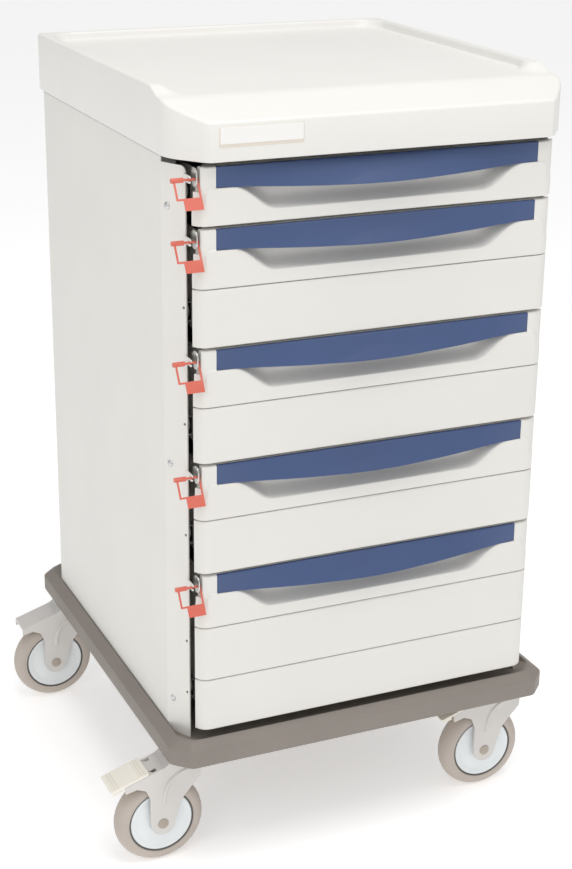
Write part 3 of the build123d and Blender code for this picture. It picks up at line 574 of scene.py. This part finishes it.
def wheel(name):
    """Tyre, dark seam ring and dished hub."""
    low, high = box_mm(f"caster_{name}_tyre")
    centre = (low + high) / 2
    body = f"wheel_{name}"
    lathe(f"caster_{name}_moulded_tyre", tyre_profile(), centre, body, "tyre_grey", [f"caster_{name}_tyre"])
    half = [(5.1, 18.0), (12.4, 18.0), (13.0, 17.5), (14.4, 13.8), (16.0, 13.4), (33.5, 13.2), (37.5, 13.5),
            (40.5, 15.0), (43.4, 15.2), (44.3, 14.2)]
    profile = half + [(radius, -y) for radius, y in reversed(half)]
    lathe(f"caster_{name}_moulded_hub", profile, centre, body, "hub_white", [f"caster_{name}_hub"])
    ring = [(44.2, -13.6), (46.8, -14.6), (46.8, 14.6), (44.2, 13.6)]
    lathe(f"caster_{name}_seam_ring", ring, centre, body, "ring_dark")


def axle(name):
    """Axle pin with a flat plastic cap at each end."""
    low, high = box_mm(f"caster_{name}_axle")
    centre, reach = (low + high) / 2, (high.y - low.y) / 2
    pin = [(0.01, reach - 1.9), (4.6, reach - 1.9), (5.0, reach - 2.3)]
    profile = pin + [(radius, -y) for radius, y in reversed(pin)]
    lathe(f"caster_{name}_axle_pin", profile, centre, f"swivel_{name}", "steel", [f"caster_{name}_axle"], 48)
    for side, tag in ((-1, "near"), (1, "far")):
        cap = [(0.01, reach - 0.3), (6.2, reach - 0.35), (7.2, reach - 0.7), (7.7, reach - 1.4),
               (7.7, reach - 1.9), (0.01, reach - 1.9)]
        profile = [(radius, side * y) for radius, y in cap]
        lathe(f"caster_{name}_cap_{tag}", profile, centre, f"swivel_{name}", "cap_taupe", segments=48)


RIB_PATH = ((-31.6, 93.5), (-31.3, 100.0), (-29.2, 112.5), (-22.7, 126.8), (-10.1, 137.2), (4.5, 142.0))


def rib_centre(t):
    """Point a share t of the way along the fork leg's pressed rib, from the swivel axis and the floor."""
    spans = len(RIB_PATH) - 1
    index = min(int(t * spans), spans - 1)
    local = t * spans - index
    knots = [Vector(RIB_PATH[min(max(index + k, 0), spans)]) for k in (-1, 0, 1, 2)]
    bend = (2 * knots[0] - 5 * knots[1] + 4 * knots[2] - knots[3]) * local**2
    twist = (3 * knots[1] - knots[0] - 3 * knots[2] + knots[3]) * local**3
    return (2 * knots[1] + (knots[2] - knots[0]) * local + bend + twist) / 2


def fork_ribs(name, x, y):
    """Curved pressed ribs on the outer faces of a fork's legs."""
    stops, points, faces = 40, [], []
    for side in (-1, 1):
        start = len(points)
        for step in range(stops + 1):
            t = step / stops
            here = rib_centre(t)
            along = rib_centre(min(t + 0.01, 1.0)) - rib_centre(max(t - 0.01, 0.0))
            across = Vector((-along.y, along.x)).normalized()
            near_end = min(t, 1 - t) * 66.0 / 3.2
            swell = math.sqrt(max(1 - (1 - min(near_end, 1.0)) ** 2, 0.0004))
            for turn in (0, 30, 60, 90, 120, 150, 180):
                angle = math.radians(turn)
                spread = here + across * 3.1 * swell * math.cos(angle)
                out = 21.9 + 2.1 * swell * math.sin(angle)
                points.append((x + spread.x, y + side * out, spread.y))
        faces += grid_faces(stops + 1, 7, start, wrap_rows=True)
    body = f"swivel_{name}"
    mesh_piece(f"caster_{name}_fork_ribs", points, faces, body, "fork_paint", sharp=60.0, merge=0.002)


def dome(points, faces, centre, outward, radius, height):
    """Adds one domed screw head to a list of points and faces."""
    side = outward.orthogonal().normalized()
    other = outward.cross(side)
    rings = [(1.0, 0.0), (1.0, 0.18), (0.93, 0.45), (0.78, 0.7), (0.55, 0.88), (0.28, 0.97), (0.02, 1.0)]
    start, count = len(points), 20
    for step in range(count):
        turn = 2 * math.pi * step / count
        for share, lift in rings:
            arm = side * math.cos(turn) + other * math.sin(turn)
            points.append(tuple(centre + arm * radius * share + outward * height * lift))
    faces += grid_faces(count, len(rings), start, wrap_columns=True)


def screws():
    """Domed screws where the CAD screws are."""
    mesh = frame["nodes"]["panel_screws"].data
    work = bmesh.new()
    work.from_mesh(mesh)
    bmesh.ops.remove_doubles(work, verts=work.verts, dist=0.00001)
    unseen, points, faces = set(work.verts), [], []
    while unseen:
        island, front = set(), [unseen.pop()]
        while front:
            vert = front.pop()
            island.add(vert)
            for edge in vert.link_edges:
                other = edge.other_vert(vert)
                if other in unseen:
                    unseen.discard(other)
                    front.append(other)
        flats = {}
        for face in {f for vert in island for f in vert.link_faces}:
            key = tuple(round(c, 2) for c in face.normal)
            flats[key] = flats.get(key, 0.0) + face.calc_area()
        base_normal = Vector(max(flats, key=flats.get)).normalized()
        middle = sum((vert.co for vert in island), Vector()) / len(island) / MM
        seat = max(vert.co.dot(base_normal) for vert in island) / MM
        centre = middle + base_normal * (seat - middle.dot(base_normal))
        local = Vector((centre.x - CENTRE_X, centre.y - FRONT_Y, centre.z))
        dome(points, faces, local, -base_normal, 4.5, 2.35)
    work.free()
    return mesh_piece("domed_screws", points, faces, "cabinet", "zinc", ["panel_screws"], sharp=60.0)


def label():
    """Blank write-on plate, held along its lower edge by a beige strip."""
    low, high = box_mm("worktop_label")
    x0, x1 = low.x - CENTRE_X, high.x - CENTRE_X
    y0, y1 = low.y - FRONT_Y, high.y - FRONT_Y
    points, faces = [], []
    rounded_plate(points, faces, (x0, low.z), (x1, high.z), y0 + 0.4, y1, 1.6, 0.3)
    mesh_piece("label_holder", points, faces, "cabinet", "label_blank", ["worktop_label"], sharp=30.0)
    points, faces = [], []
    plate_low = (x0 + 0.3, low.z + 4.2)
    plate_high = (x1 - 0.3, high.z - 0.3)
    rounded_plate(points, faces, plate_low, plate_high, y0 + 0.05, y0 + 0.6, 1.2, 0.15)
    mesh_piece("label_plate", points, faces, "cabinet", "plate_white", sharp=30.0)


# ------------------------------------------------------------------ stage, light and camera

FLOOR_REACH = 14.0
FLOOR_GLOW = 0.36
WORLD_STRENGTH = 0.57
LENS = 72.27
CAMERA_AT = (-975.8, -1903.0, 1408.7)
CAMERA_YAW, CAMERA_PITCH, CAMERA_ROLL = 24.009, 20.545, -0.7054


def stage():
    """A flat pale floor with a faint glow, so that it reads as white."""
    mesh = bpy.data.meshes.new("floor")
    reach = FLOOR_REACH
    corners = [(-reach, -reach, 0), (reach, -reach, 0), (reach, reach, 0), (-reach, reach, 0)]
    mesh.from_pydata(corners, [], [(0, 1, 2, 3)])
    floor = bpy.data.objects.new("floor", mesh)
    bpy.context.scene.collection.objects.link(floor)
    pale = finish_material("floor_white", (0.93, 0.93, 0.93), 0.7, 40, 0.0001, 0.004)
    glow = pale.node_tree.nodes["Principled BSDF"]
    glow.inputs["Emission Color"].default_value = (1.0, 1.0, 1.0, 1.0)
    glow.inputs["Emission Strength"].default_value = FLOOR_GLOW
    mesh.materials.append(pale)


def area_light(name, position, target, size, power):
    """A soft square lamp aimed at a point."""
    data = bpy.data.lights.new(name, "AREA")
    data.size = size
    data.energy = power
    lamp = bpy.data.objects.new(name, data)
    bpy.context.scene.collection.objects.link(lamp)
    lamp.location = position
    lamp.rotation_mode = "QUATERNION"
    lamp.rotation_quaternion = (Vector(target) - Vector(position)).to_track_quat("-Z", "Y")


def lights():
    """Soft key from the upper left front, a broad overhead and a pale world."""
    world = bpy.data.worlds.new("studio")
    bpy.context.scene.world = world
    world.use_nodes = True
    sky = world.node_tree.nodes["Background"]
    sky.inputs["Color"].default_value = (1.0, 1.0, 1.0, 1.0)
    sky.inputs["Strength"].default_value = WORLD_STRENGTH
    bpy.context.scene.view_settings.view_transform = "Standard"
    area_light("key", (-2.4, -2.6, 2.6), (0.0, 0.0, 0.5), 1.8, 22)
    area_light("overhead", (0.1, -1.1, 3.7), (0.0, 0.0, 0.6), 2.2, 58)


def camera():
    """Camera at the viewing distance and angle of a standing onlooker, to the left of the front."""
    yaw, pitch, roll = (math.radians(turn) for turn in (CAMERA_YAW, CAMERA_PITCH, CAMERA_ROLL))
    forward = Vector((math.sin(yaw) * math.cos(pitch), math.cos(yaw) * math.cos(pitch), -math.sin(pitch)))
    right = Vector((math.cos(yaw), -math.sin(yaw), 0))
    down = forward.cross(right)
    across = math.cos(roll) * right + math.sin(roll) * down
    fall = -math.sin(roll) * right + math.cos(roll) * down
    data = bpy.data.cameras.new("camera")
    data.lens = LENS
    view = bpy.data.objects.new("camera", data)
    bpy.context.scene.collection.objects.link(view)
    turn = Matrix((across, -fall, -forward)).transposed()
    view.matrix_world = Matrix.Translation(place(*CAMERA_AT)) @ turn.to_4x4()
    bpy.context.scene.camera = view


# ------------------------------------------------------------------ the whole cart

ROUNDING = {
    "side_panel_left": 0.7, "side_panel_right": 0.7, "back_panel": 0.6, "corner_flanges": 0.5,
    "top_plate": 0.0, "cabinet_rails": 0.0, "slide_uprights": 0.0, "caster_plates": 0.8,
}
ROUNDING.update({f"drawer_{n}_box": 0.6 for n in DRAWERS})
ROUNDING.update({f"drawer_{n}_rails": 0.0 for n in DRAWERS})
ROUNDING.update({f"drawer_{n}_hasp": 0.4 for n in DRAWERS})
ROUNDING.update({f"seal_{n}": 0.25 for n in DRAWERS})
ROUNDING.update({f"caster_{name}_fork": 0.9 for name in CASTERS})
ROUNDING.update({"brake_pedal_front_left": 0.5, "brake_pedal_front_right": 0.5})

for node, width in ROUNDING.items():
    soften(node, width)
for number in DRAWERS:
    drawer_front(number)
    drawer_grip(number)
worktop()
base()
for caster in CASTERS:
    wheel(caster)
    axle(caster)
    plate = (box_mm(f"caster_{caster}_fork")[0] + box_mm(f"caster_{caster}_fork")[1]) / 2
    hub_centre = (box_mm(f"caster_{caster}_axle")[0] + box_mm(f"caster_{caster}_axle")[1]) / 2
    fork_ribs(caster, hub_centre.x - CENTRE_X + CASTER_TRAIL, plate.y - FRONT_Y)
screws()
label()
stage()
lights()
camera()

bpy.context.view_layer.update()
